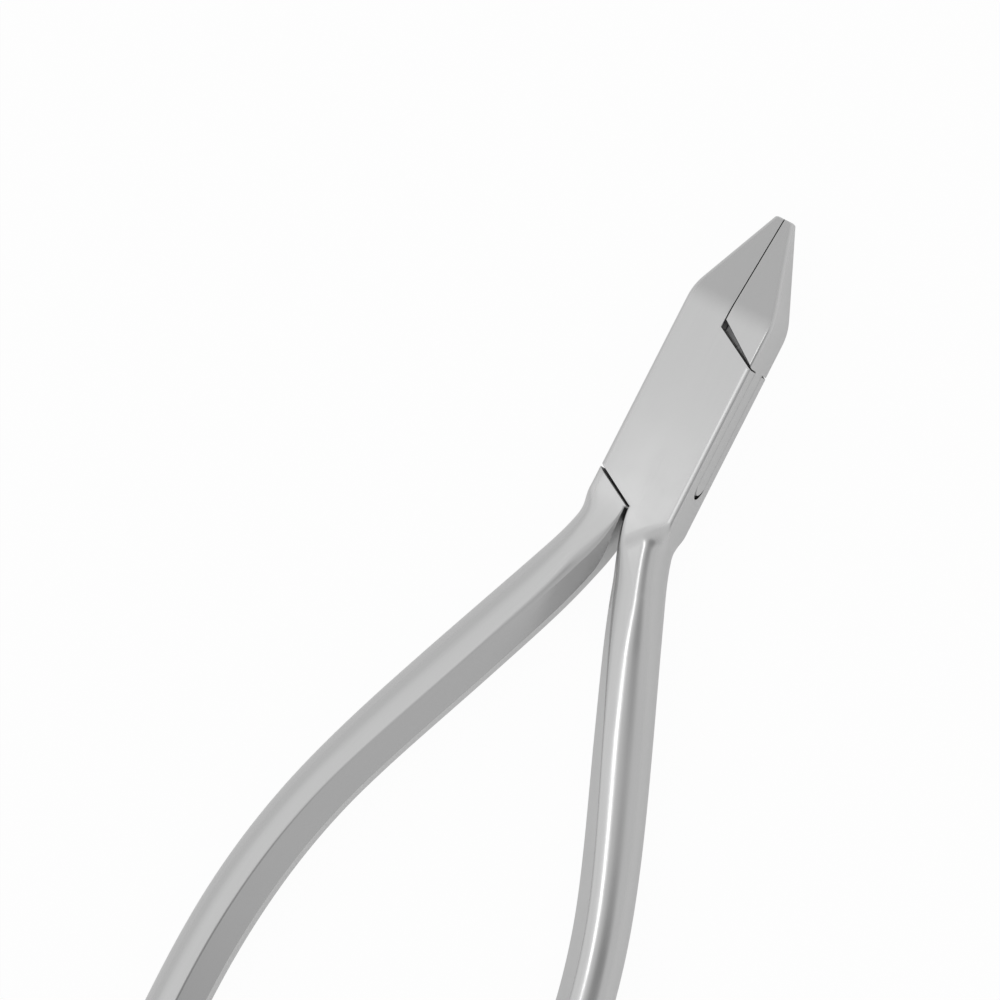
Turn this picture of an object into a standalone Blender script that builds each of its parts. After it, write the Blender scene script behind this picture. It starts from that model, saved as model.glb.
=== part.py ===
# Box-joint pliers for bending orthodontic wire: two forged halves and one rivet.
# Metres, +Z up. The closed pliers lie on their back face. +Y runs to the tips, +X is
# the right-hand side seen from the front, and the pivot axis is the line x = 0, y = 0.
# Every plan distance below is measured from the pivot unless its note says otherwise.

import math

import bmesh
import bpy
from mathutils import Vector

# Joint block
JOINT_WIDTH = 0.0120
JOINT_THICKNESS = 0.0092
EDGE_RADIUS = 0.00055        # rounded outer edges of the beaks
EDGE_ACROSS = 0.0009         # rounding along the sides of the block, on its faces
EDGE_DOWN = 0.00035          # the same, on its sides
BROKEN_EDGE = 0.00012        # crisp edges along the seam and the shoulders

# Front and back cheeks of the slotted half: each ends in two slanting shoulders
CHEEK_SEAM = 0.0128          # where a shoulder meets the centre line
CHEEK_SIDE = 0.0095          # where the same shoulder meets the side face

# Room between those shoulders and the ones of the tongue half, along the pliers
UPPER_GAP_SEAM = 0.0011
UPPER_GAP_SIDE = 0.0004
LOWER_GAP = 0.0004

# Slot through the joint and the tongue that fills it
SLOT_THICKNESS = 0.0038
SLOT_SIDE = 0.0083           # round slot end where it opens in the side face
SLOT_SEAM = 0.0148           # round slot end at the centre line
TONGUE_FACE_GAP = 0.00008    # running clearance on each face of the tongue
TONGUE_SIDE_GAP = 0.0006     # between tongue end and slot end in the side face
TONGUE_SEAM_GAP = 0.0016     # the same at the centre line, out of sight
TONGUE_END_RADIUS = 0.0020   # the tongue ends are round as well

# Rivet with two countersunk heads, ground flush
RIVET_DIAMETER = 0.0036
RIVET_HEAD_DIAMETER = 0.0046
RIVET_HEAD_DEPTH = 0.0008
RIVET_SEAT_GAP = 0.00001     # radial, in the cheeks
RIVET_RUNNING_GAP = 0.00005  # radial, in the tongue

# Beaks: square, tapering in width and in thickness to a blunt tip
TIP_REACH = 0.0288
TIP_WIDTH = 0.00122          # one beak
TIP_THICKNESS = 0.0020
TIP_EDGE = 0.00015
BEAK_CORNER = 0.01620        # where the side face turns in
BEAK_CORNER_RADIUS = 0.009
BEAK_FACE_CORNER = 0.0153    # where the front face starts to fall
BEAK_FACE_RADIUS = 0.011
JAW_GAP = 0.0001             # hairline between the closed beaks

# Handles
HANDLE_REACH = 0.1010
HANDLE_ROOT = 0.0125         # the rounded handle form starts here
FACE_ROUND_LENGTH = 0.0034   # over which the rounding eats across the flat faces in an arc
SIDE_ROUND_LENGTH = 0.0034   # over which it eats down the side face
INNER_FACET_LENGTH = 0.0100  # over which the slanting inner facet opens
HANDLE_LAND = 0.0012         # half height of the narrow inner land
CREST_LAND = 0.0001          # flat left on the crest
OUTER_LAND = 0.0001          # half height of the flat left on the outermost line
HANDLE_END_RADIUS = 0.0036
ROOT_SEAM_SHIFT = 0.00045    # the handle roots part a little left of the centre line
SCOOP_START = 0.0120         # where the slotted half dips at its handle, at the side face
SCOOP_DELAY = 0.0056         # how much later it dips at the centre line
SCOOP_BOW = 1.5              # power of the bow that the start of the dip makes
SCOOP_LENGTH = 0.0032
SCOOP_DEPTH = 0.00024
FLAT_STEPS = 4               # parts of the flat face across, so that it follows the dip

# Plan curves of a handle: distance below the pivot, offset sideways, slope.
# The outer line starts on the side of the block.
OUTER_COURSE = (
    (0.0120, 0.0, 0.0),
    (0.0220, 0.0026, 0.42),
    (0.0400, 0.0102, 0.415),
    (0.0600, 0.0178, 0.32),
    (0.0850, 0.0225, 0.06),
    (0.1010, 0.0227, -0.02),
)
INNER_COURSE = (
    (0.0128, 0.00025, 0.0),
    (0.0220, 0.00145, 0.30),
    (0.0400, 0.0082, 0.40),
    (0.0600, 0.0162, 0.36),
    (0.0850, 0.0214, 0.08),
    (0.1010, 0.0217, -0.02),
)
# The two handles differ a little. Every course lists distance below the pivot, value, slope.
# facet: width of the slanting inner facet; crest: width of the rounding between that facet
# and the crest; thin: how far the front face lies below that of the joint block; spread:
# how far the inner edge lies inside INNER_COURSE; dip: depth of the dip at the root.
SLOTTED_HANDLE = {
    'seam_shift': -ROOT_SEAM_SHIFT,
    'dip': SCOOP_DEPTH,
    'facet': ((0.0220, 0.0013, 0.06), (0.0300, 0.0017, 0.03), (0.0600, 0.0025, 0.01)),
    'crest': (
        (0.0150, 0.0015, 0.0),
        (0.0170, 0.0018, 0.15),
        (0.0220, 0.0023, 0.0),
        (0.0300, 0.0012, -0.09),
        (0.0420, 0.0004, -0.01),
        (0.0600, 0.0004, 0.0),
    ),
    'thin': (
        (0.0160, 0.0, 0.0),
        (0.0220, 0.0001, 0.02),
        (0.0400, 0.0004, 0.006),
        (0.1010, 0.0008, 0.003),
    ),
    'spread': ((0.0160, 0.0, 0.0), (0.0220, 0.0, 0.0)),
}
TONGUE_HANDLE = {
    'seam_shift': ROOT_SEAM_SHIFT,
    'dip': 0.0,
    'facet': (
        (0.0180, 0.0018, 0.05),
        (0.0260, 0.0024, 0.07),
        (0.0340, 0.0028, 0.02),
        (0.0600, 0.0030, 0.005),
    ),
    'crest': (
        (0.0150, 0.0018, 0.0),
        (0.0220, 0.0013, -0.11),
        (0.0300, 0.0006, -0.05),
        (0.0420, 0.0003, 0.0),
    ),
    'thin': (
        (0.0120, 0.0, 0.0),
        (0.0220, 0.0004, 0.03),
        (0.0400, 0.0007, 0.006),
        (0.1010, 0.0011, 0.003),
    ),
    'spread': ((0.0160, 0.0, 0.0), (0.0220, 0.0002, 0.04), (0.0300, 0.0004, 0.008), (0.0450, 0.00045, 0.0)),
}

# Fineness of the faceted surfaces
CORNER_STEPS = 5
SLOT_END_STEPS = 12
PIN_SIDES = 64
HANDLE_ROW = 0.0040
ROOT_ROW = 0.0008
FILLET_ROWS = 6
END_ROWS = 7

HALF_WIDTH = JOINT_WIDTH / 2
HALF_THICKNESS = JOINT_THICKNESS / 2
TONGUE_HALF = SLOT_THICKNESS / 2 - TONGUE_FACE_GAP
TONGUE_SEAM = SLOT_SEAM - TONGUE_SEAM_GAP
TONGUE_SIDE = SLOT_SIDE - TONGUE_SIDE_GAP
CUT_MARGIN = JOINT_THICKNESS / 4


def smooth_step(value):
    value = min(max(value, 0.0), 1.0)
    return value * value * (3.0 - 2.0 * value)


def mix(first, second, share):
    return first + (second - first) * share


def share_past(place, start, length):
    # 0 up to start, growing evenly to 1 over length.
    return min(max((place - start) / length, 0.0), 1.0)


def course(knots, place):
    # Smooth curve through (place, value, slope) knots.
    if place <= knots[0][0]:
        return knots[0][1]
    for start, end in zip(knots, knots[1:]):
        if place <= end[0]:
            break
    span = end[0] - start[0]
    t = min((place - start[0]) / span, 1.0)
    from_start = (1 + 2 * t) * (1 - t) ** 2 * start[1] + t * (1 - t) ** 2 * span * start[2]
    from_end = t * t * (3 - 2 * t) * end[1] - t * t * (1 - t) * span * end[2]
    return from_start + from_end


def turned_down(place, corner, slope, radius):
    # Drop of a straight line that turns down by slope at corner, rounded by radius.
    half_turn = math.atan(slope) / 2
    reach = radius * math.tan(half_turn)
    start = corner - reach
    if place <= start:
        return 0.0
    if place >= corner + reach * math.cos(2 * half_turn):
        return slope * (place - corner)
    return radius - math.sqrt(radius ** 2 - (place - start) ** 2)


def turned_down_rows(corner, slope, radius):
    # Places along the round of turned_down, ends included.
    half_turn = math.atan(slope) / 2
    start = corner - radius * math.tan(half_turn)
    return [start + radius * math.sin(2 * half_turn * i / FILLET_ROWS) for i in range(FILLET_ROWS + 1)]


def beak_slope():
    return (HALF_WIDTH - TIP_WIDTH - JAW_GAP / 2) / (TIP_REACH - BEAK_CORNER)


def beak_face_slope():
    return (HALF_THICKNESS - TIP_THICKNESS / 2) / (TIP_REACH - BEAK_FACE_CORNER)


def end_shrink(y):
    # 1 along the handle, falling as a quarter circle over its rounded end.
    past = -y - (HANDLE_REACH - HANDLE_END_RADIUS)
    if past <= 0.0:
        return 1.0
    return math.sqrt(max(1.0 - (past / HANDLE_END_RADIUS) ** 2, 0.0))


def handle_edges(y, handle, seam_shift):
    # Inner and outer edge of a handle, measured from the centre line.
    inner = course(INNER_COURSE, -y) - course(handle['spread'], -y)
    inner += seam_shift * (1.0 - smooth_step((-y - CHEEK_SEAM) / INNER_FACET_LENGTH))
    outer = HALF_WIDTH + course(OUTER_COURSE, -y)
    middle = (inner + outer) / 2
    half = (outer - inner) / 2 * end_shrink(y)
    return middle - half, middle + half


def tip_break(y):
    # The last stretch of a beak is bevelled by TIP_EDGE.
    return max(y - (TIP_REACH - TIP_EDGE), 0.0)


def half_height(y, handle):
    if y > 0.0:
        fall = turned_down(y, BEAK_FACE_CORNER, beak_face_slope(), BEAK_FACE_RADIUS)
        return HALF_THICKNESS - fall - tip_break(y)
    return (HALF_THICKNESS - course(handle['thin'], -y)) * end_shrink(y)


def round_points(edge, inward, height, across, down):
    # Quarter ellipse from the side wall up to the face.
    points = []
    for i in range(CORNER_STEPS + 1):
        angle = i / CORNER_STEPS * math.pi / 2
        x = edge + inward * across * (1.0 - math.cos(angle))
        points.append((x, height - down * (1.0 - math.sin(angle))))
    return points


def facet_points(edge, inward, height, across, down, crest):
    # Slanting flat from the side wall up, then a rounding that ends level on the crest.
    back = crest / math.hypot(across + crest, down)
    points = [(edge, height - down)]
    for i in range(CORNER_STEPS):
        t = i / (CORNER_STEPS - 1)
        x = across * (1.0 - back * (1 - t) ** 2) + crest * t * t
        points.append((edge + inward * x, height - down * back * (1 - t) ** 2))
    return points


def inner_side(y, height, seam, side, handle):
    # Side of a half that carries the inner handle edge below the joint, then a slanting
    # end from the seam out to the side face, then the outer side of its beak.
    if y <= -seam:
        edge, _ = handle_edges(y, handle, handle['seam_shift'])
        opened = smooth_step((-y - seam) / INNER_FACET_LENGTH)
        shrink = end_shrink(y)
        facet = mix(BROKEN_EDGE, course(handle['facet'], -y), opened) * shrink
        crest = mix(BROKEN_EDGE, course(handle['crest'], -y), opened) * shrink
        land = mix(HALF_THICKNESS - BROKEN_EDGE, HANDLE_LAND, opened) * shrink
        return facet_points(edge, 1.0, height, facet, height - land, crest)
    if y < -side:
        root, _ = handle_edges(-seam, handle, handle['seam_shift'])
        edge = mix(root, -HALF_WIDTH, (y + seam) / (seam - side))
        return round_points(edge, 1.0, height, BROKEN_EDGE, BROKEN_EDGE)
    edge = -HALF_WIDTH + turned_down(y, BEAK_CORNER, beak_slope(), BEAK_CORNER_RADIUS)
    return round_points(edge + tip_break(y), 1.0, height, EDGE_RADIUS, EDGE_RADIUS)


def outer_side(y, height, seam, side, handle):
    # Other side of that half: outer handle edge, side face of the block, slanting end
    # from the side face in to the seam, then the gripping face of its beak.
    if y <= side:
        inner, edge = handle_edges(y, handle, 0.0)
        shrink = end_shrink(y)
        crest = inner + (course(handle['facet'], -y) + course(handle['crest'], -y) + CREST_LAND) * shrink
        face_share = math.sin(share_past(-y, HANDLE_ROOT, FACE_ROUND_LENGTH) * math.pi / 2)
        across = mix(EDGE_ACROSS, edge - crest, face_share)
        full = height - OUTER_LAND * shrink
        down = mix(EDGE_DOWN, full, share_past(-y, HANDLE_ROOT, SIDE_ROUND_LENGTH) ** 3)
        return round_points(edge, -1.0, height, across, down)
    edge = -JAW_GAP / 2
    if y < seam:
        edge = mix(HALF_WIDTH, edge, (y - side) / (seam - side))
    return round_points(edge, -1.0, height, BROKEN_EDGE, BROKEN_EDGE)


def dipped(x, y, z, depth):
    # Height z of a point after the bowed, slanting dip at the root of a handle.
    inward = max(HALF_WIDTH - x, 0.0) / HALF_WIDTH
    share = share_past(-y, SCOOP_START + SCOOP_DELAY * inward ** SCOOP_BOW, SCOOP_LENGTH)
    eased = share ** 3 * (10.0 - 15.0 * share + 6.0 * share ** 2)
    return z * (1.0 - depth * eased / HALF_THICKNESS)


def half_section(y, mirror, seam, side, handle):
    height = half_height(y, handle)
    outer = outer_side(y, height, seam, side, handle)
    inner = inner_side(y, height, seam, side, handle)
    flat = [mix(outer[-1][0], inner[-1][0], i / FLAT_STEPS) for i in range(1, FLAT_STEPS)]
    top = outer + [(x, height) for x in flat] + inner[::-1]
    top = [(x, dipped(x, y, z, handle['dip'])) for x, z in top]
    ring = top + [(x, -z) for x, z in reversed(top)]
    return [Vector((mirror * x, y, z)) for x, z in ring]


def even_rows(start, end, step):
    count = max(1, math.ceil((end - start) / step))
    return [mix(start, end, i / count) for i in range(count + 1)]


def half_rows(seam, side):
    # Places along the pliers where a half gets a section.
    end_start = HANDLE_REACH - HANDLE_END_RADIUS
    last = math.asin(0.985)
    rows = [-end_start - HANDLE_END_RADIUS * math.sin(last * i / END_ROWS) for i in range(END_ROWS + 1)]
    root_end = CHEEK_SEAM + INNER_FACET_LENGTH
    rows += even_rows(-end_start, -root_end, HANDLE_ROW)
    rows += even_rows(-root_end, -seam, ROOT_ROW)
    rows += even_rows(-seam, -SCOOP_START, ROOT_ROW)
    rows += [-seam + BROKEN_EDGE, -side - BROKEN_EDGE, -side]
    rows += [side, side + BROKEN_EDGE, seam - BROKEN_EDGE, seam]
    rows += turned_down_rows(BEAK_CORNER, beak_slope(), BEAK_CORNER_RADIUS)
    rows += turned_down_rows(BEAK_FACE_CORNER, beak_face_slope(), BEAK_FACE_RADIUS)
    rows += [TIP_REACH - TIP_EDGE, TIP_REACH]
    rows.sort()
    kept = [rows[0]]
    for row in rows[1:]:
        if row - kept[-1] > BROKEN_EDGE / 4:
            kept.append(row)
    return kept


def skin(name, rings):
    # One closed mesh through rings of equal count, with a face over each end.
    work = bmesh.new()
    loops = [[work.verts.new(point) for point in ring] for ring in rings]
    for low, high in zip(loops, loops[1:]):
        for i in range(len(low)):
            work.faces.new((low[i - 1], low[i], high[i], high[i - 1]))
    work.faces.new(loops[0])
    work.faces.new(reversed(loops[-1]))
    bmesh.ops.recalc_face_normals(work, faces=work.faces)
    mesh = bpy.data.meshes.new(name)
    work.to_mesh(mesh)
    work.free()
    return mesh


def place(name, mesh, material=None):
    # Every piece has its origin on the pivot axis, half way through the joint.
    piece = bpy.data.objects.new(name, mesh)
    piece.location = (0.0, 0.0, HALF_THICKNESS)
    bpy.context.scene.collection.objects.link(piece)
    if material is None:
        piece.hide_render = True
        piece.display_type = 'WIRE'
        return piece
    mesh.materials.append(material)
    mesh.shade_smooth()
    mesh.set_sharp_from_angle(angle=math.radians(28))
    return piece


def cut(piece, cutter):
    step = piece.modifiers.new(cutter.name, 'BOOLEAN')
    step.operation = 'DIFFERENCE'
    step.solver = 'EXACT'
    step.object = cutter


def steel(name, colour, roughness):
    material = bpy.data.materials.new(name)
    material.use_nodes = True
    surface = material.node_tree.nodes['Principled BSDF']
    surface.inputs['Base Color'].default_value = (*colour, 1.0)
    surface.inputs['Metallic'].default_value = 1.0
    surface.inputs['Roughness'].default_value = roughness
    return material


def half_mesh(name, mirror, seam, side, handle):
    return skin(name, [half_section(y, mirror, seam, side, handle) for y in half_rows(seam, side)])


def slot_cutter():
    # Through slot with round ends that slant across the joint.
    slant = (SLOT_SEAM - SLOT_SIDE) / HALF_WIDTH
    radius = SLOT_THICKNESS / 2
    reach = HALF_WIDTH + CUT_MARGIN / 2
    rings = []
    for x in (-reach, reach):
        upper = slant * x + SLOT_SEAM - radius
        lower = slant * x - SLOT_SEAM + radius
        turns = [math.pi * i / SLOT_END_STEPS for i in range(SLOT_END_STEPS + 1)]
        ring = [(upper + radius * math.sin(a), radius * math.cos(a)) for a in turns]
        ring += [(lower - radius * math.sin(a), -radius * math.cos(a)) for a in turns]
        rings.append([Vector((x, y, z)) for y, z in ring])
    return place('slot_cutter', skin('slot_cutter', rings))


def pocket_cutter(name, face):
    # Recess that leaves the tongue: between the shoulders, from its face outwards.
    reach = HALF_WIDTH + CUT_MARGIN
    upper_seam = CHEEK_SEAM + UPPER_GAP_SEAM
    upper_side = CHEEK_SIDE + UPPER_GAP_SIDE
    upper_slope = (upper_side - upper_seam) / HALF_WIDTH
    lower_seam = -CHEEK_SEAM - LOWER_GAP
    lower_slope = (CHEEK_SIDE - CHEEK_SEAM) / HALF_WIDTH
    levels = (
        (TONGUE_HALF, 0.0),
        (HALF_THICKNESS - BROKEN_EDGE, 0.0),
        (HALF_THICKNESS, BROKEN_EDGE),
        (HALF_THICKNESS + CUT_MARGIN, BROKEN_EDGE),
    )
    rings = []
    for height, spread in levels:
        corners = (
            (-reach, upper_seam - upper_slope * reach + spread),
            (-reach, lower_seam - lower_slope * reach - spread),
            (reach, lower_seam + lower_slope * reach - spread),
            (reach, upper_seam + upper_slope * reach + spread),
        )
        rings.append([Vector((x, y, face * height)) for x, y in corners])
    return place(name, skin(name, rings))


def tongue_end_cutter(name, side):
    # Hollow gouge that rounds one slanting tongue end, from the seam out past the side face.
    slant = (TONGUE_SEAM - TONGUE_SIDE) / HALF_WIDTH
    reach = HALF_WIDTH + CUT_MARGIN
    half_turn = math.asin(TONGUE_HALF / TONGUE_END_RADIUS)
    turns = [mix(-half_turn, half_turn, i / SLOT_END_STEPS) for i in range(SLOT_END_STEPS + 1)]
    rings = []
    for x in (0.0, reach):
        end = TONGUE_SEAM - slant * x
        ring = [(end - TONGUE_END_RADIUS * (1.0 - math.cos(a)), TONGUE_END_RADIUS * math.sin(a)) for a in turns]
        ring += [(end + CUT_MARGIN, TONGUE_HALF), (end + CUT_MARGIN, -TONGUE_HALF)]
        rings.append([Vector((side * x, -side * y, z)) for y, z in ring])
    return place(name, skin(name, rings))


def round_rings(profile, gap):
    # Rings of a turned shape from (height, radius) pairs, grown outwards by gap.
    turns = [math.tau * i / PIN_SIDES for i in range(PIN_SIDES)]
    return [
        [Vector(((radius + gap) * math.cos(a), (radius + gap) * math.sin(a), z)) for a in turns]
        for z, radius in profile
    ]


def rivet_profile(overrun):
    shank = RIVET_DIAMETER / 2
    head = RIVET_HEAD_DIAMETER / 2
    neck = HALF_THICKNESS - RIVET_HEAD_DEPTH
    profile = [(-HALF_THICKNESS, head), (-neck, shank), (neck, shank), (HALF_THICKNESS, head)]
    if overrun:
        profile = [(-HALF_THICKNESS - overrun, head)] + profile + [(HALF_THICKNESS + overrun, head)]
    return profile


def make_slotted_half():
    # Left beak, both cheeks of the joint and the right handle.
    mesh = half_mesh('slotted_half', 1.0, CHEEK_SEAM, CHEEK_SIDE, SLOTTED_HANDLE)
    half = place('slotted_half', mesh, steel('slotted_half_steel', (0.60, 0.61, 0.62), 0.34))
    bore = skin('cheek_bore_cutter', round_rings(rivet_profile(CUT_MARGIN), RIVET_SEAT_GAP))
    cut(half, slot_cutter())
    cut(half, place('cheek_bore_cutter', bore))
    return half


def make_tongue_half():
    # Right beak, the tongue through the slot, the lap block and the left handle.
    mesh = half_mesh('tongue_half', -1.0, TONGUE_SEAM, TONGUE_SIDE, TONGUE_HANDLE)
    half = place('tongue_half', mesh, steel('tongue_half_steel', (0.60, 0.61, 0.62), 0.34))
    cut(half, pocket_cutter('front_pocket_cutter', 1.0))
    cut(half, pocket_cutter('back_pocket_cutter', -1.0))
    cut(half, tongue_end_cutter('lower_end_cutter', 1.0))
    cut(half, tongue_end_cutter('upper_end_cutter', -1.0))
    reach = SLOT_THICKNESS
    radius = RIVET_DIAMETER / 2
    bore = skin('tongue_bore_cutter', round_rings([(-reach, radius), (reach, radius)], RIVET_RUNNING_GAP))
    cut(half, place('tongue_bore_cutter', bore))
    return half


def make_pivot_rivet():
    mesh = skin('pivot_rivet', round_rings(rivet_profile(0.0), 0.0))
    return place('pivot_rivet', mesh, steel('pivot_rivet_steel', (0.58, 0.59, 0.60), 0.36))


def build():
    for item in list(bpy.data.objects):
        bpy.data.objects.remove(item, do_unlink=True)
    make_slotted_half()
    make_tongue_half()
    make_pivot_rivet()


build()
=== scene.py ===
import math
import bmesh
import bpy
from mathutils import Matrix, Vector


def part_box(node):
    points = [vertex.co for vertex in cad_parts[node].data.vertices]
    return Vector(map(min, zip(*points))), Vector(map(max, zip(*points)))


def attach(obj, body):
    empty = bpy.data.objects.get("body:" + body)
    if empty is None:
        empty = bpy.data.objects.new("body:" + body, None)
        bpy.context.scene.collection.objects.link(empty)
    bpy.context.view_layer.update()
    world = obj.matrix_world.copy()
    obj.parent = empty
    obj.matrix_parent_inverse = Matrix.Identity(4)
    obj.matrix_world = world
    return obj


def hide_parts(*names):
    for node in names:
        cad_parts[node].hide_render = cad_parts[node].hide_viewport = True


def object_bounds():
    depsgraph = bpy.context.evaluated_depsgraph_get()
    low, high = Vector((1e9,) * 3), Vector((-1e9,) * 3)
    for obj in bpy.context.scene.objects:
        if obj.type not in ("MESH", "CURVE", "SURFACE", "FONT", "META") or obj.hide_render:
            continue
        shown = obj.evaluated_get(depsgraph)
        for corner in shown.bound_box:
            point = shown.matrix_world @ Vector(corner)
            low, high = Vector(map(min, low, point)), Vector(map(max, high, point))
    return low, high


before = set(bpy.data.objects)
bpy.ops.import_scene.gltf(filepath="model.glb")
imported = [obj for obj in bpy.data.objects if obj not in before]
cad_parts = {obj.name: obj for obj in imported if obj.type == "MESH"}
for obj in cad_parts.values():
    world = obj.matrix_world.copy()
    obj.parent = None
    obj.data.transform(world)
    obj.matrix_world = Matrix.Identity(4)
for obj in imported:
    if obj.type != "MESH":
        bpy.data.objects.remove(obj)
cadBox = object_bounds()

# Orthodontic box-joint pliers: a slotted half, a tongue half and a flush rivet,
# in satin steel on a white table. Metres, tips towards +Y, front face up.

slottedLow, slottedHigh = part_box("slotted_half")
halfThickness = (slottedHigh.z - slottedLow.z) / 2
midPlane = slottedLow.z + halfThickness
tipReach = slottedHigh.y

# joint block with its cheeks; the shoulders slant from the seam out to the side
joint = {
    "halfWidth": 0.0060,
    "edgeRadius": 0.00055,
    "edgeAcross": 0.0009,
    "edgeDown": 0.00035,
    "brokenEdge": 0.00012,
    "cheekSeam": 0.0128,
    "cheekSide": 0.0095,
    "upperGapSeam": 0.0011,
    "upperGapSide": 0.0002,
    "lowerGap": 0.0004,
}

# how finely the meshes are divided
fineness = {
    "cornerSteps": 12,
    "flatSteps": 12,
    "slotEndSteps": 32,
    "handleRow": 0.0010,
    "rootRow": 0.00025,
    "filletRows": 16,
    "beakRow": 0.0020,
    "leastRow": 0.00003,
    "endRows": 20,
    "endShare": 0.985,
    "sharpAngle": 24.0,
}


def smoothStep(value):
    value = min(max(value, 0.0), 1.0)
    return value * value * (3.0 - 2.0 * value)


def softStep(share):    # starts and ends without a bend
    return share ** 3 * (10.0 - 15.0 * share + 6.0 * share ** 2)


def mix(first, second, share):
    return first + (second - first) * share


def sharePast(place, start, length):
    return min(max((place - start) / length, 0.0), 1.0)


def course(knots, place):
    if place <= knots[0][0]:
        return knots[0][1]
    for start, end in zip(knots, knots[1:]):
        if place <= end[0]:
            break
    span = end[0] - start[0]
    t = min((place - start[0]) / span, 1.0)
    fromStart = (1 + 2 * t) * (1 - t) ** 2 * start[1] + t * (1 - t) ** 2 * span * start[2]
    fromEnd = t * t * (3 - 2 * t) * end[1] - t * t * (1 - t) * span * end[2]
    return fromStart + fromEnd


def turnedDown(place, corner, slope, radius):    # drop of a line that turns down at a rounded corner
    halfTurn = math.atan(slope) / 2
    reach = radius * math.tan(halfTurn)
    start = corner - reach
    if place <= start:
        return 0.0
    if place >= corner + reach * math.cos(2 * halfTurn):
        return slope * (place - corner)
    return radius - math.sqrt(radius ** 2 - (place - start) ** 2)


def turnedDownRows(corner, slope, radius):
    halfTurn = math.atan(slope) / 2
    start = corner - radius * math.tan(halfTurn)
    steps = fineness["filletRows"]
    return [start + radius * math.sin(2 * halfTurn * i / steps) for i in range(steps + 1)]


# beaks: square, tapering in width and thickness to a blunt tip
beak = {
    "tipWidth": 0.00122,
    "tipThickness": 0.0020,
    "tipEdge": 0.00015,
    "sideCorner": 0.01620,
    "sideRadius": 0.0090,
    "faceCorner": 0.0153,
    "faceRadius": 0.0110,
    "gap": 0.0001,
}

sideSlope = (joint["halfWidth"] - beak["tipWidth"] - beak["gap"] / 2) / (tipReach - beak["sideCorner"])
faceSlope = (halfThickness - beak["tipThickness"] / 2) / (tipReach - beak["faceCorner"])


# curves are (distance below the pivot, value, slope)
handle = {
    "reach": 0.1010,
    "root": 0.0125,
    "faceRound": 0.0034,
    "sideRound": 0.0044,
    "facetLength": 0.0100,
    "innerLand": 0.0012,
    "outerLand": 0.0001,
    "crestLand": 0.0001,
    "endRadius": 0.0036,
    "outer": (
        (0.0120, 0.0, 0.0), (0.0220, 0.0026, 0.42), (0.0400, 0.0102, 0.415),
        (0.0600, 0.0178, 0.32), (0.0850, 0.0225, 0.06), (0.1010, 0.0227, -0.02),
    ),
    "inner": (
        (0.0128, 0.00025, 0.0), (0.0220, 0.00145, 0.30), (0.0400, 0.0082, 0.40),
        (0.0600, 0.0162, 0.36), (0.0850, 0.0214, 0.08), (0.1010, 0.0217, -0.02),
    ),
}

# the two handles differ a little: where the inner edge starts, depth of the dip at the root,
# facet and the rounding up to the crest, fall of the face, inward spread of the inner edge
slottedHandle = {
    "seamShift": -0.00045,
    "dip": 0.00024,
    "facet": ((0.0220, 0.0013, 0.06), (0.0300, 0.0017, 0.03), (0.0600, 0.0025, 0.01)),
    "crest": (
        (0.0150, 0.0015, 0.0), (0.0170, 0.0018, 0.15), (0.0220, 0.0023, 0.0),
        (0.0300, 0.0012, -0.09), (0.0420, 0.0004, -0.01), (0.0600, 0.0004, 0.0),
    ),
    "thin": (
        (0.0160, 0.0, 0.0), (0.0220, 0.0001, 0.02), (0.0400, 0.0004, 0.006), (0.1010, 0.0008, 0.003),
    ),
    "spread": ((0.0160, 0.0, 0.0), (0.0220, 0.0, 0.0)),
}

tongueHandle = {
    "seamShift": 0.00045,
    "dip": 0.0,
    "facet": (
        (0.0180, 0.0018, 0.05), (0.0260, 0.0024, 0.07), (0.0340, 0.0028, 0.02), (0.0600, 0.0030, 0.005),
    ),
    "crest": (
        (0.0150, 0.0018, 0.0), (0.0220, 0.0013, -0.11), (0.0300, 0.0006, -0.05), (0.0420, 0.0003, 0.0),
    ),
    "thin": (
        (0.0120, 0.0, 0.0), (0.0220, 0.0004, 0.03), (0.0400, 0.0007, 0.006), (0.1010, 0.0011, 0.003),
    ),
    "spread": (
        (0.0160, 0.0, 0.0), (0.0220, 0.0002, 0.04), (0.0300, 0.0004, 0.008), (0.0450, 0.00045, 0.0),
    ),
}


def endShrink(y):    # quarter circle over the rounded end of a handle
    past = -y - (handle["reach"] - handle["endRadius"])
    if past <= 0.0:
        return 1.0
    return math.sqrt(max(1.0 - (past / handle["endRadius"]) ** 2, 0.0))


def handleEdges(y, form, seamShift):
    inner = course(handle["inner"], -y) - course(form["spread"], -y)
    inner += seamShift * (1.0 - smoothStep((-y - joint["cheekSeam"]) / handle["facetLength"]))
    outer = joint["halfWidth"] + course(handle["outer"], -y)
    middle = (inner + outer) / 2
    half = (outer - inner) / 2 * endShrink(y)
    return middle - half, middle + half


def tipBreak(y):
    return max(y - (tipReach - beak["tipEdge"]), 0.0)


def halfHeight(y, form):
    if y > 0.0:
        fall = turnedDown(y, beak["faceCorner"], faceSlope, beak["faceRadius"])
        return halfThickness - fall - tipBreak(y)
    return (halfThickness - course(form["thin"], -y)) * endShrink(y)


# how much each kind of edge is rubbed bright
rub = {
    "rounded": 1.0,
    "crisp": 0.5,
    "handleCrease": 0.1,
}


# corners run from the side wall up to the face as (across, height, how much it is rubbed)
def roundCorner(edge, inward, height, across, down, rubbed):
    points = []
    for i in range(fineness["cornerSteps"] + 1):
        angle = i / fineness["cornerSteps"] * math.pi / 2
        x = edge + inward * across * (1.0 - math.cos(angle))
        points.append((x, height - down * (1.0 - math.sin(angle)), rubbed * math.sin(2 * angle)))
    return points


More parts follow.
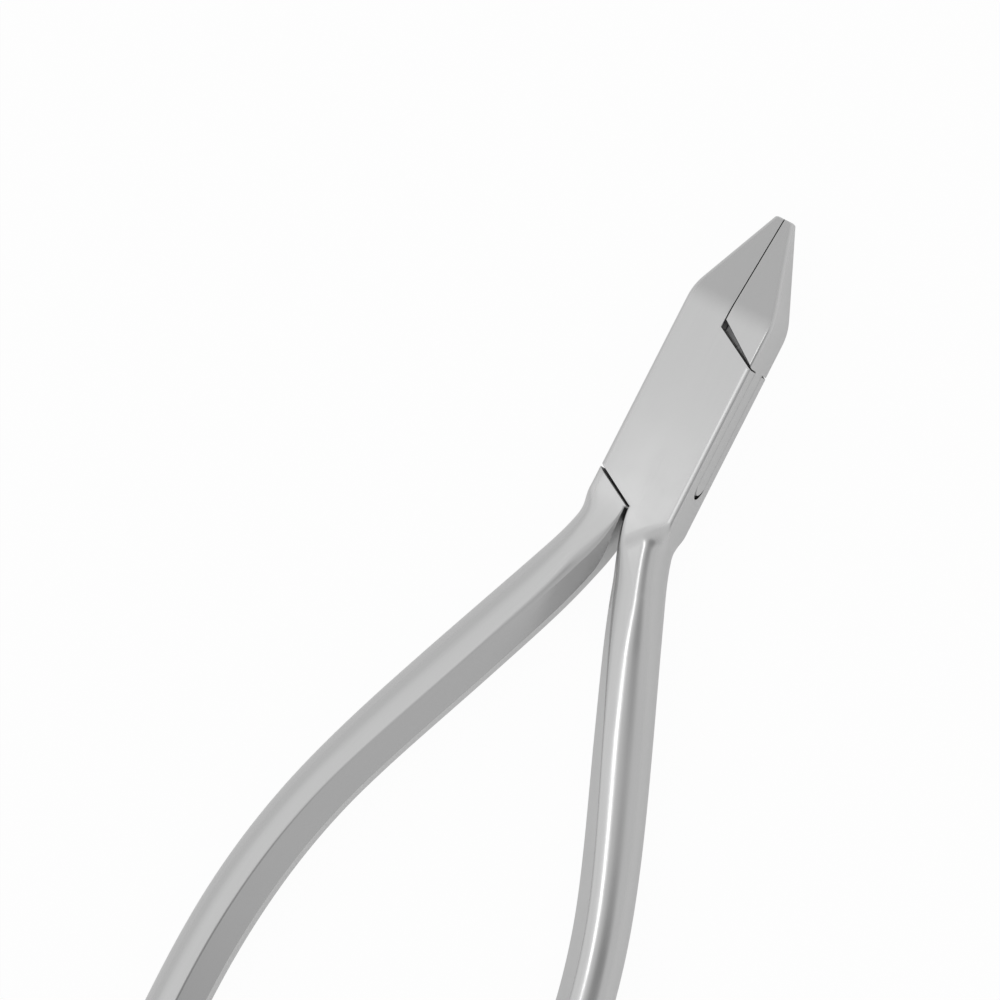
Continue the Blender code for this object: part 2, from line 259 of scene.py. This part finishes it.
def facetCorner(edge, inward, height, across, down, crest, rubbed):
    back = crest / math.hypot(across + crest, down)
    points = [(edge, height - down, 0.0)]
    for i in range(fineness["cornerSteps"]):
        t = i / (fineness["cornerSteps"] - 1)
        x = across * (1.0 - back * (1 - t) ** 2) + crest * t * t
        z = height - down * back * (1 - t) ** 2
        points.append((edge + inward * x, z, rubbed * math.sin(math.pi * t)))
    return points


def innerSide(y, height, seam, side, form):
    broken = joint["brokenEdge"]
    if y <= -seam:
        edge, _ = handleEdges(y, form, form["seamShift"])
        opened = smoothStep((-y - seam) / handle["facetLength"])
        shrink = endShrink(y)
        facet = mix(broken, course(form["facet"], -y), opened) * shrink
        crest = mix(broken, course(form["crest"], -y), opened) * shrink
        land = mix(halfThickness - broken, handle["innerLand"], opened) * shrink
        return facetCorner(edge, 1.0, height, facet, height - land, crest, rub["handleCrease"])
    if y < -side:
        root, _ = handleEdges(-seam, form, form["seamShift"])
        edge = mix(root, -joint["halfWidth"], (y + seam) / (seam - side))
        return roundCorner(edge, 1.0, height, broken, broken, rub["crisp"])
    edge = -joint["halfWidth"] + turnedDown(y, beak["sideCorner"], sideSlope, beak["sideRadius"])
    radius = joint["edgeRadius"]
    return roundCorner(edge + tipBreak(y), 1.0, height, radius, radius, rub["rounded"])


def outerSide(y, height, seam, side, form):
    if y <= side:
        inner, edge = handleEdges(y, form, 0.0)
        shrink = endShrink(y)
        crestWidth = course(form["facet"], -y) + course(form["crest"], -y) + handle["crestLand"]
        faceShare = math.sin(sharePast(-y, handle["root"], handle["faceRound"]) * math.pi / 2)
        sideShare = sharePast(-y, handle["root"], handle["sideRound"])
        across = mix(joint["edgeAcross"], edge - inner - crestWidth * shrink, faceShare)
        down = mix(joint["edgeDown"], height - handle["outerLand"] * shrink, softStep(sideShare))
        return roundCorner(edge, -1.0, height, across, down, rub["rounded"] * (1.0 - sideShare))
    edge = -beak["gap"] / 2
    if y < seam:
        edge = mix(joint["halfWidth"], edge, (y - side) / (seam - side))
    return roundCorner(edge, -1.0, height, joint["brokenEdge"], joint["brokenEdge"], rub["crisp"])


# bowed, slanting dip where the handle of the slotted half leaves the joint
dip = {
    "start": 0.0120,
    "delay": 0.0056,
    "bow": 1.5,
    "length": 0.0032,
}


def dipped(x, y, z, depth):
    inward = max(joint["halfWidth"] - x, 0.0) / joint["halfWidth"]
    share = sharePast(-y, dip["start"] + dip["delay"] * inward ** dip["bow"], dip["length"])
    return z * (1.0 - depth * softStep(share) / halfThickness)


def halfSection(y, mirror, seam, side, form):
    height = halfHeight(y, form)
    outer = outerSide(y, height, seam, side, form)
    inner = innerSide(y, height, seam, side, form)
    steps = fineness["flatSteps"]
    flat = [mix(outer[-1][0], inner[-1][0], i / steps) for i in range(1, steps)]
    top = outer + [(x, height, 0.0) for x in flat] + inner[::-1]
    top = [(x, dipped(x, y, z, form["dip"]), rubbed) for x, z, rubbed in top]
    ring = top + [(x, -z, rubbed) for x, z, rubbed in reversed(top)]
    return [(Vector((mirror * x, y, z)), rubbed) for x, z, rubbed in ring]


def evenRows(start, end, step):
    count = max(1, math.ceil((end - start) / step))
    return [mix(start, end, i / count) for i in range(count + 1)]


def halfRows(seam, side):
    endStart = handle["reach"] - handle["endRadius"]
    last = math.asin(fineness["endShare"])
    steps = fineness["endRows"]
    rows = [-endStart - handle["endRadius"] * math.sin(last * i / steps) for i in range(steps + 1)]
    rootEnd = joint["cheekSeam"] + handle["facetLength"]
    broken = joint["brokenEdge"]
    rows += evenRows(-endStart, -rootEnd, fineness["handleRow"])
    rows += evenRows(-rootEnd, -seam, fineness["rootRow"])
    rows += evenRows(-seam, -dip["start"], fineness["rootRow"])
    rows += [-seam + broken, -side - broken, -side]
    rows += [side, side + broken, seam - broken, seam]
    rows += turnedDownRows(beak["sideCorner"], sideSlope, beak["sideRadius"])
    rows += turnedDownRows(beak["faceCorner"], faceSlope, beak["faceRadius"])
    rows += evenRows(beak["faceCorner"] + broken, tipReach - beak["tipEdge"], fineness["beakRow"])
    rows.append(tipReach)
    rows.sort()
    kept = [rows[0]]
    for row in rows[1:]:
        if row - kept[-1] > fineness["leastRow"]:
            kept.append(row)
    return kept


def skin(name, rings, rubs=None):
    work = bmesh.new()
    rubLayer = work.verts.layers.float.new("edgeRub")
    loops = []
    for r, ring in enumerate(rings):
        loop = [work.verts.new(point) for point in ring]
        if rubs:
            for vert, rubbed in zip(loop, rubs[r]):
                vert[rubLayer] = rubbed
        loops.append(loop)
    for low, high in zip(loops, loops[1:]):
        for i in range(len(low)):
            work.faces.new((low[i - 1], low[i], high[i], high[i - 1]))
    work.faces.new(loops[0])
    work.faces.new(reversed(loops[-1]))
    bmesh.ops.recalc_face_normals(work, faces=work.faces)
    mesh = bpy.data.meshes.new(name)
    work.to_mesh(mesh)
    work.free()
    return mesh


def place(name, mesh, material):    # origin on the pivot axis, half way through the joint
    mesh.materials.append(material)
    piece = bpy.data.objects.new(name, mesh)
    piece.location = (0.0, 0.0, midPlane)
    bpy.context.scene.collection.objects.link(piece)
    return piece


def cutAway(piece, cutters):
    for cutter in cutters:
        step = piece.modifiers.new(cutter.name, "BOOLEAN")
        step.operation = "DIFFERENCE"
        step.solver = "EXACT"
        step.material_mode = "TRANSFER"
        step.object = cutter
    bpy.context.view_layer.update()
    solid = bpy.data.meshes.new_from_object(piece.evaluated_get(bpy.context.evaluated_depsgraph_get()))
    piece.modifiers.clear()
    piece.data = solid
    for cutter in cutters:
        bpy.data.objects.remove(cutter, do_unlink=True)


def smoothFinish(piece):
    mesh = piece.data
    mesh.shade_smooth()
    mesh.set_sharp_from_angle(angle=math.radians(fineness["sharpAngle"]))
    normals = piece.modifiers.new("flatFaces", "WEIGHTED_NORMAL")
    normals.keep_sharp = True
    normals.weight = 100


# grain coordinates: across the piece from the middle of its handle, along it, and in depth
def layGrain(piece, mirror, apart):
    mesh = piece.data
    lay = mesh.attributes.new("grainPlace", "FLOAT_VECTOR", "POINT")
    for vert in mesh.vertices:
        x, y, z = vert.co
        inner = course(handle["inner"], -y)
        outer = joint["halfWidth"] + course(handle["outer"], -y)
        settled = smoothStep((-y - joint["cheekSeam"]) / handle["facetLength"])
        middle = (inner + outer) / 2 * settled * mirror
        lay.data[vert.index].vector = (x - middle + apart, y, z)


# the slanting ends and the gripping faces, which face into the gaps of the joint, are left as machined
# and take the darker machined steel, whose darkness is painted shade for the gaps; the rest is satin;
# they are told apart by how far a face's normal leans
machinedShadeFaces = {
    "uprightBelow": 0.3,
    "shoulderAbove": 0.5,
    "gripAbove": 0.9,
}


def halfBlank(name, material, mirror, seam, side, form):
    sections = [halfSection(y, mirror, seam, side, form) for y in halfRows(seam, side)]
    rings = [[point for point, _ in section] for section in sections]
    rubs = [[rubbed for _, rubbed in section] for section in sections]
    piece = place(name, skin(name, rings, rubs), material)
    mesh = piece.data
    # the faces picked below get the darker machined steel, painted shade for the joint gaps
    mesh.materials.append(machinedSteelWithPaintedShade)
    for face in mesh.polygons:
        upright = abs(face.normal.z) < machinedShadeFaces["uprightBelow"]
        shoulder = side < abs(face.center.y) < seam and mirror * face.center.x * face.center.y > 0.0
        shoulder = shoulder and abs(face.normal.y) > machinedShadeFaces["shoulderAbove"]
        grip = face.center.y > seam and mirror * face.normal.x > machinedShadeFaces["gripAbove"]
        if upright and (shoulder or grip):
            face.material_index = 1
    return piece


# through slot, and the tongue that runs in it
slot = {
    "thickness": 0.0038,
    "side": 0.0083,
    "seam": 0.0148,
    "faceGap": 0.00008,
    "tongueSeamGap": 0.0016,
    "tongueSideGap": 0.0006,
    "tongueEndRadius": 0.0020,
}


def slotCutter():
    halfWidth = joint["halfWidth"]
    slant = (slot["seam"] - slot["side"]) / halfWidth
    radius = slot["thickness"] / 2
    outside = halfWidth + radius / 2
    steps = fineness["slotEndSteps"]
    turns = [math.pi * i / steps for i in range(steps + 1)]
    rings = []
    for x in (-outside, outside):
        upper = slant * x + slot["seam"] - radius
        lower = slant * x - slot["seam"] + radius
        ring = [(upper + radius * math.sin(a), radius * math.cos(a)) for a in turns]
        ring += [(lower - radius * math.sin(a), -radius * math.cos(a)) for a in turns]
        rings.append([Vector((x, y, z)) for y, z in ring])
    return place("slotCutter", skin("slotCutter", rings), machinedSteelWithPaintedShade)


def pocketCutter(name, face):
    margin = halfThickness / 2
    reach = joint["halfWidth"] + margin
    upperSeam = joint["cheekSeam"] + joint["upperGapSeam"]
    upperSlope = (joint["cheekSide"] + joint["upperGapSide"] - upperSeam) / joint["halfWidth"]
    lowerSeam = -joint["cheekSeam"] - joint["lowerGap"]
    lowerSlope = (joint["cheekSide"] - joint["cheekSeam"]) / joint["halfWidth"]
    broken = joint["brokenEdge"]
    levels = (
        (slot["thickness"] / 2 - slot["faceGap"], 0.0), (halfThickness - broken, 0.0),
        (halfThickness, broken), (halfThickness + margin, broken),
    )
    rings = []
    for height, spread in levels:
        corners = (
            (-reach, upperSeam - upperSlope * reach + spread),
            (-reach, lowerSeam - lowerSlope * reach - spread),
            (reach, lowerSeam + lowerSlope * reach - spread),
            (reach, upperSeam + upperSlope * reach + spread),
        )
        rings.append([Vector((x, y, face * height)) for x, y in corners])
    return place(name, skin(name, rings), machinedSteelWithPaintedShade)


def tongueEndCutter(name, side, seam, seamSide):
    slant = (seam - seamSide) / joint["halfWidth"]
    margin = halfThickness / 2
    flat = slot["thickness"] / 2 - slot["faceGap"]
    radius = slot["tongueEndRadius"]
    halfTurn = math.asin(flat / radius)
    steps = fineness["slotEndSteps"]
    turns = [mix(-halfTurn, halfTurn, i / steps) for i in range(steps + 1)]
    rings = []
    for x in (0.0, joint["halfWidth"] + margin):
        end = seam - slant * x
        ring = [(end - radius * (1.0 - math.cos(a)), radius * math.sin(a)) for a in turns]
        ring += [(end + margin, flat), (end + margin, -flat)]
        rings.append([Vector((side * x, -side * y, z)) for y, z in ring])
    return place(name, skin(name, rings), machinedSteelWithPaintedShade)


# rivet with two countersunk heads, ground flush
rivet = {
    "radius": 0.0018,
    "headRadius": 0.0023,
    "headDepth": 0.0008,
    "seatGap": 0.000001,
    "runningGap": 0.00005,
    "sides": 128,
}


def turned(name, profile, gap, material):
    turns = [math.tau * i / rivet["sides"] for i in range(rivet["sides"])]
    rings = [
        [Vector(((radius + gap) * math.cos(a), (radius + gap) * math.sin(a), z)) for a in turns]
        for z, radius in profile
    ]
    return place(name, skin(name, rings), material)


def rivetProfile(overrun):
    neck = halfThickness - rivet["headDepth"]
    profile = [
        (-halfThickness, rivet["headRadius"]), (-neck, rivet["radius"]),
        (neck, rivet["radius"]), (halfThickness, rivet["headRadius"]),
    ]
    if overrun:
        below = (-halfThickness - overrun, rivet["headRadius"])
        above = (halfThickness + overrun, rivet["headRadius"])
        profile = [below] + profile + [above]
    return profile


# satin steel, brushed along the pliers: fine grain, cloudy roughness and bright rubbed edges
satinFinish = {
    "colour": (0.60, 0.60, 0.60),
    "brightColour": (0.70, 0.70, 0.70),
    "roughness": 0.21,
    "cloudRoughness": 0.03,
    "rubbedRoughness": 0.35,
    "grainScale": (3200.0, 70.0, 3200.0),
    "cloudScale": 150.0,
    "grainDepth": 0.0000005,
}

# surfaces left from the cutter inside the joint: duller as machined, and darker as painted shade for
# the gaps between the parts
machinedFinishWithPaintedShade = {
    "colour": (0.34, 0.34, 0.34),
    "brightColour": (0.48, 0.48, 0.48),
    "roughness": 0.40,
    "cloudRoughness": 0.06,
    "rubbedRoughness": 0.30,
    "grainScale": (900.0, 900.0, 2400.0),
    "cloudScale": 400.0,
    "grainDepth": 0.0000015,
}


# what both finishes share
steelTexture = {
    "grainDetail": 4.0,
    "grainRoughness": 0.6,
    "cloudDetail": 3.0,
    "cloudFrom": 0.3,
    "cloudTo": 0.7,
    "brightFromRub": 0.5,
    "brightFromGrain": 0.3,
}


def makeSteel(name, finish):
    material = bpy.data.materials.new(name)
    material.use_nodes = True
    nodes = material.node_tree.nodes
    links = material.node_tree.links
    surface = nodes["Principled BSDF"]
    surface.inputs["Metallic"].default_value = 1.0

    layNode = nodes.new("ShaderNodeAttribute")
    layNode.attribute_name = "grainPlace"
    rubNode = nodes.new("ShaderNodeAttribute")
    rubNode.attribute_name = "edgeRub"

    stretch = nodes.new("ShaderNodeVectorMath")
    stretch.operation = "MULTIPLY"
    stretch.inputs[1].default_value = finish["grainScale"]
    links.new(layNode.outputs["Vector"], stretch.inputs[0])
    grain = nodes.new("ShaderNodeTexNoise")
    grain.inputs["Scale"].default_value = 1.0
    grain.inputs["Detail"].default_value = steelTexture["grainDetail"]
    grain.inputs["Roughness"].default_value = steelTexture["grainRoughness"]
    links.new(stretch.outputs["Vector"], grain.inputs["Vector"])

    clouds = nodes.new("ShaderNodeTexNoise")
    clouds.inputs["Scale"].default_value = finish["cloudScale"]
    clouds.inputs["Detail"].default_value = steelTexture["cloudDetail"]
    links.new(layNode.outputs["Vector"], clouds.inputs["Vector"])

    brighten = nodes.new("ShaderNodeMath")
    brighten.operation = "MULTIPLY_ADD"
    brighten.inputs[1].default_value = steelTexture["brightFromRub"]
    links.new(rubNode.outputs["Fac"], brighten.inputs[0])
    grainShare = nodes.new("ShaderNodeMath")
    grainShare.operation = "MULTIPLY"
    grainShare.inputs[1].default_value = steelTexture["brightFromGrain"]
    links.new(grain.outputs["Fac"], grainShare.inputs[0])
    links.new(grainShare.outputs[0], brighten.inputs[2])
    tone = nodes.new("ShaderNodeMix")
    tone.data_type = "RGBA"
    tone.inputs["A"].default_value = (*finish["colour"], 1.0)
    tone.inputs["B"].default_value = (*finish["brightColour"], 1.0)
    links.new(brighten.outputs[0], tone.inputs["Factor"])
    links.new(tone.outputs["Result"], surface.inputs["Base Color"])

    cloudy = nodes.new("ShaderNodeMapRange")
    cloudy.inputs["From Min"].default_value = steelTexture["cloudFrom"]
    cloudy.inputs["From Max"].default_value = steelTexture["cloudTo"]
    cloudy.inputs["To Min"].default_value = finish["roughness"] - finish["cloudRoughness"]
    cloudy.inputs["To Max"].default_value = finish["roughness"] + finish["cloudRoughness"]
    links.new(clouds.outputs["Fac"], cloudy.inputs["Value"])
    worn = nodes.new("ShaderNodeMix")
    worn.inputs["B"].default_value = finish["rubbedRoughness"]
    links.new(rubNode.outputs["Fac"], worn.inputs["Factor"])
    links.new(cloudy.outputs["Result"], worn.inputs["A"])
    links.new(worn.outputs["Result"], surface.inputs["Roughness"])

    relief = nodes.new("ShaderNodeBump")
    relief.inputs["Strength"].default_value = 1.0
    relief.inputs["Distance"].default_value = finish["grainDepth"]
    links.new(grain.outputs["Fac"], relief.inputs["Height"])
    links.new(relief.outputs["Normal"], surface.inputs["Normal"])
    return material


# machined steel is duller, and its darker colour is painted shade for the joint gaps; the cutters pass
# it on to the faces they cut
machinedSteelWithPaintedShade = makeSteel("machinedSteelWithPaintedShade", machinedFinishWithPaintedShade)
forgedSteel = makeSteel("forgedSteel", satinFinish)

print("slotted half")
slottedHalf = halfBlank(
    "slottedHalf", forgedSteel, 1.0, joint["cheekSeam"], joint["cheekSide"], slottedHandle,
)
boreCutter = turned("cheekBoreCutter", rivetProfile(halfThickness / 2), rivet["seatGap"], machinedSteelWithPaintedShade)
cutAway(slottedHalf, [slotCutter(), boreCutter])
layGrain(slottedHalf, 1.0, 0.0)
smoothFinish(slottedHalf)
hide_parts("slotted_half")
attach(slottedHalf, "slotted_half")

print("tongue half")
tongueSeam = slot["seam"] - slot["tongueSeamGap"]
tongueSide = slot["side"] - slot["tongueSideGap"]
tongueHalf = halfBlank("tongueHalf", forgedSteel, -1.0, tongueSeam, tongueSide, tongueHandle)
boreSpan = slot["thickness"]
tongueBore = [(-boreSpan, rivet["radius"]), (boreSpan, rivet["radius"])]
cutAway(tongueHalf, [
    pocketCutter("frontPocketCutter", 1.0),
    pocketCutter("backPocketCutter", -1.0),
    tongueEndCutter("lowerEndCutter", 1.0, tongueSeam, tongueSide),
    tongueEndCutter("upperEndCutter", -1.0, tongueSeam, tongueSide),
    turned("tongueBoreCutter", tongueBore, rivet["runningGap"], machinedSteelWithPaintedShade),
])
layGrain(tongueHalf, -1.0, handle["reach"])
smoothFinish(tongueHalf)
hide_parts("tongue_half")
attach(tongueHalf, "tongue_half")

print("rivet")
flushRivet = turned("flushRivet", rivetProfile(0.0), 0.0, makeSteel("rivetSteel", satinFinish))
layGrain(flushRivet, 1.0, 0.0)
smoothFinish(flushRivet)
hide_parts("pivot_rivet")
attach(flushRivet, "slotted_half")


# long lens; the picture is 1000 by 1000 and the pivot sits at pivotPixel in it
view = {
    "yaw": 15.4,
    "roll": 26.98,
    "pixelsPerMetre": 7830.0,
    "pivotPixel": (683.8, 421.3),
    "pictureSize": 1000,
    "distance": 1.2,
    "sensor": 0.036,
    "nearest": 0.05,
    "farthest": 20.0,
}


def makeCamera():
    yaw = math.radians(view["yaw"])
    roll = math.radians(view["roll"])
    towards = Vector((math.sin(yaw), 0.0, math.cos(yaw)))
    acrossPliers = Vector((math.cos(yaw), 0.0, -math.sin(yaw)))
    alongPliers = Vector((0.0, 1.0, 0.0))
    right = math.cos(roll) * acrossPliers + math.sin(roll) * alongPliers
    up = -math.sin(roll) * acrossPliers + math.cos(roll) * alongPliers
    middle = view["pictureSize"] / 2
    offRight = (middle - view["pivotPixel"][0]) / view["pixelsPerMetre"]
    offDown = (middle - view["pivotPixel"][1]) / view["pixelsPerMetre"]
    aim = Vector((0.0, 0.0, midPlane)) + right * offRight - up * offDown
    eye = aim + towards * view["distance"]
    lens = bpy.data.cameras.new("pictureCamera")
    lens.sensor_width = view["sensor"] * 1000
    lens.lens = view["pixelsPerMetre"] * view["distance"] * view["sensor"] / view["pictureSize"] * 1000
    lens.clip_start = view["nearest"]
    lens.clip_end = view["farthest"]
    camera = bpy.data.objects.new("pictureCamera", lens)
    turn = Matrix((right, up, towards)).transposed().to_4x4()
    camera.matrix_world = Matrix.Translation(eye) @ turn
    bpy.context.scene.collection.objects.link(camera)
    bpy.context.scene.camera = camera


# lamps: place, point aimed at, width, length along the pliers, radiance
lamps = {
    "stripLamp": ((0.088, 0.055, 0.892), (0.0, -0.020, 0.005), 0.048, 0.28, 4.5),
    "centreLamp": ((-0.0428, -0.012, 0.1835), (0.0, -0.012, 0.009), 0.015, 0.015, 0.8),
}


def makeLamp(name, position, target, width, length, radiance):
    lamp = bpy.data.lights.new(name, "AREA")
    lamp.shape = "RECTANGLE"
    lamp.size = width
    lamp.size_y = length
    lamp.energy = radiance * math.pi * width * length
    away = (Vector(position) - Vector(target)).normalized()
    alongPliers = Vector((0.0, 1.0, 0.0))
    lengthwise = (alongPliers - away * alongPliers.dot(away)).normalized()
    sideways = lengthwise.cross(away)
    turn = Matrix((sideways, lengthwise, away)).transposed().to_4x4()
    box = bpy.data.objects.new(name, lamp)
    box.matrix_world = Matrix.Translation(position) @ turn
    box.visible_camera = False
    bpy.context.scene.collection.objects.link(box)


# how far the table shows as plain white to the camera and in the steel; the rest keeps the shadow
table = {
    "radius": 3.0,
    "sides": 96,
    "drop": 0.00002,
    "colour": 0.90,
    "cameraWhite": 0.96,
    "steelWhite": 0.30,
}


def makeTable():
    material = bpy.data.materials.new("tableWhite")
    material.use_nodes = True
    nodes = material.node_tree.nodes
    links = material.node_tree.links
    nodes.remove(nodes["Principled BSDF"])
    matt = nodes.new("ShaderNodeBsdfDiffuse")
    matt.inputs["Color"].default_value = (table["colour"], table["colour"], table["colour"], 1.0)
    white = nodes.new("ShaderNodeEmission")
    rays = nodes.new("ShaderNodeLightPath")
    cameraShare = nodes.new("ShaderNodeMath")
    cameraShare.operation = "MULTIPLY"
    cameraShare.inputs[1].default_value = table["cameraWhite"]
    links.new(rays.outputs["Is Camera Ray"], cameraShare.inputs[0])
    share = nodes.new("ShaderNodeMath")
    share.operation = "MULTIPLY_ADD"
    share.inputs[1].default_value = table["steelWhite"]
    links.new(rays.outputs["Is Glossy Ray"], share.inputs[0])
    links.new(cameraShare.outputs[0], share.inputs[2])
    blend = nodes.new("ShaderNodeMixShader")
    links.new(share.outputs[0], blend.inputs[0])
    links.new(matt.outputs[0], blend.inputs[1])
    links.new(white.outputs[0], blend.inputs[2])
    links.new(blend.outputs[0], nodes["Material Output"].inputs["Surface"])
    mesh = bpy.data.meshes.new("table")
    work = bmesh.new()
    bmesh.ops.create_circle(work, cap_ends=True, segments=table["sides"], radius=table["radius"])
    work.to_mesh(mesh)
    work.free()
    mesh.materials.append(material)
    top = bpy.data.objects.new("table", mesh)
    top.location = (0.0, 0.0, cadBox[0].z - table["drop"])
    bpy.context.scene.collection.objects.link(top)


# soft room light: an even level with one glow and three darker fields as
# (direction, angle where it is full, angle where it ends, radiance added)
room = {
    "level": 0.72,
    "fields": (
        ((-0.46, -0.08, 0.885), 5.0, 42.0, 0.16),
        ((0.79, -0.43, 0.43), 8.0, 26.0, -0.12),
        ((0.656, 0.0, 0.755), 11.0, 24.0, -0.40),
        ((-0.10, 0.75, 0.65), 18.0, 48.0, -0.09),
    ),
}


def makeRoomLight():
    world = bpy.data.worlds.new("paleRoom")
    world.use_nodes = True
    nodes = world.node_tree.nodes
    links = world.node_tree.links
    background = nodes["Background"]
    background.inputs["Color"].default_value = (1.0, 1.0, 1.0, 1.0)
    towards = nodes.new("ShaderNodeTexCoord")
    level = nodes.new("ShaderNodeValue")
    level.outputs[0].default_value = room["level"]
    total = level.outputs[0]
    for direction, full, end, radiance in room["fields"]:
        facing = nodes.new("ShaderNodeVectorMath")
        facing.operation = "DOT_PRODUCT"
        facing.inputs[1].default_value = Vector(direction).normalized()
        links.new(towards.outputs["Generated"], facing.inputs[0])
        glow = nodes.new("ShaderNodeMapRange")
        glow.interpolation_type = "SMOOTHSTEP"
        glow.inputs["From Min"].default_value = math.cos(math.radians(end))
        glow.inputs["From Max"].default_value = math.cos(math.radians(full))
        glow.inputs["To Min"].default_value = 0.0
        glow.inputs["To Max"].default_value = radiance
        links.new(facing.outputs["Value"], glow.inputs["Value"])
        added = nodes.new("ShaderNodeMath")
        added.operation = "ADD"
        links.new(total, added.inputs[0])
        links.new(glow.outputs["Result"], added.inputs[1])
        total = added.outputs[0]
    rays = nodes.new("ShaderNodeLightPath")
    strength = nodes.new("ShaderNodeMath")
    strength.operation = "MAXIMUM"
    links.new(rays.outputs["Is Camera Ray"], strength.inputs[0])
    links.new(total, strength.inputs[1])
    links.new(strength.outputs[0], background.inputs["Strength"])
    bpy.context.scene.world = world


print("camera, lights and table")
makeCamera()
for name, values in lamps.items():
    makeLamp(name, *values)
makeTable()
makeRoomLight()
bpy.context.scene.view_settings.view_transform = "Standard"
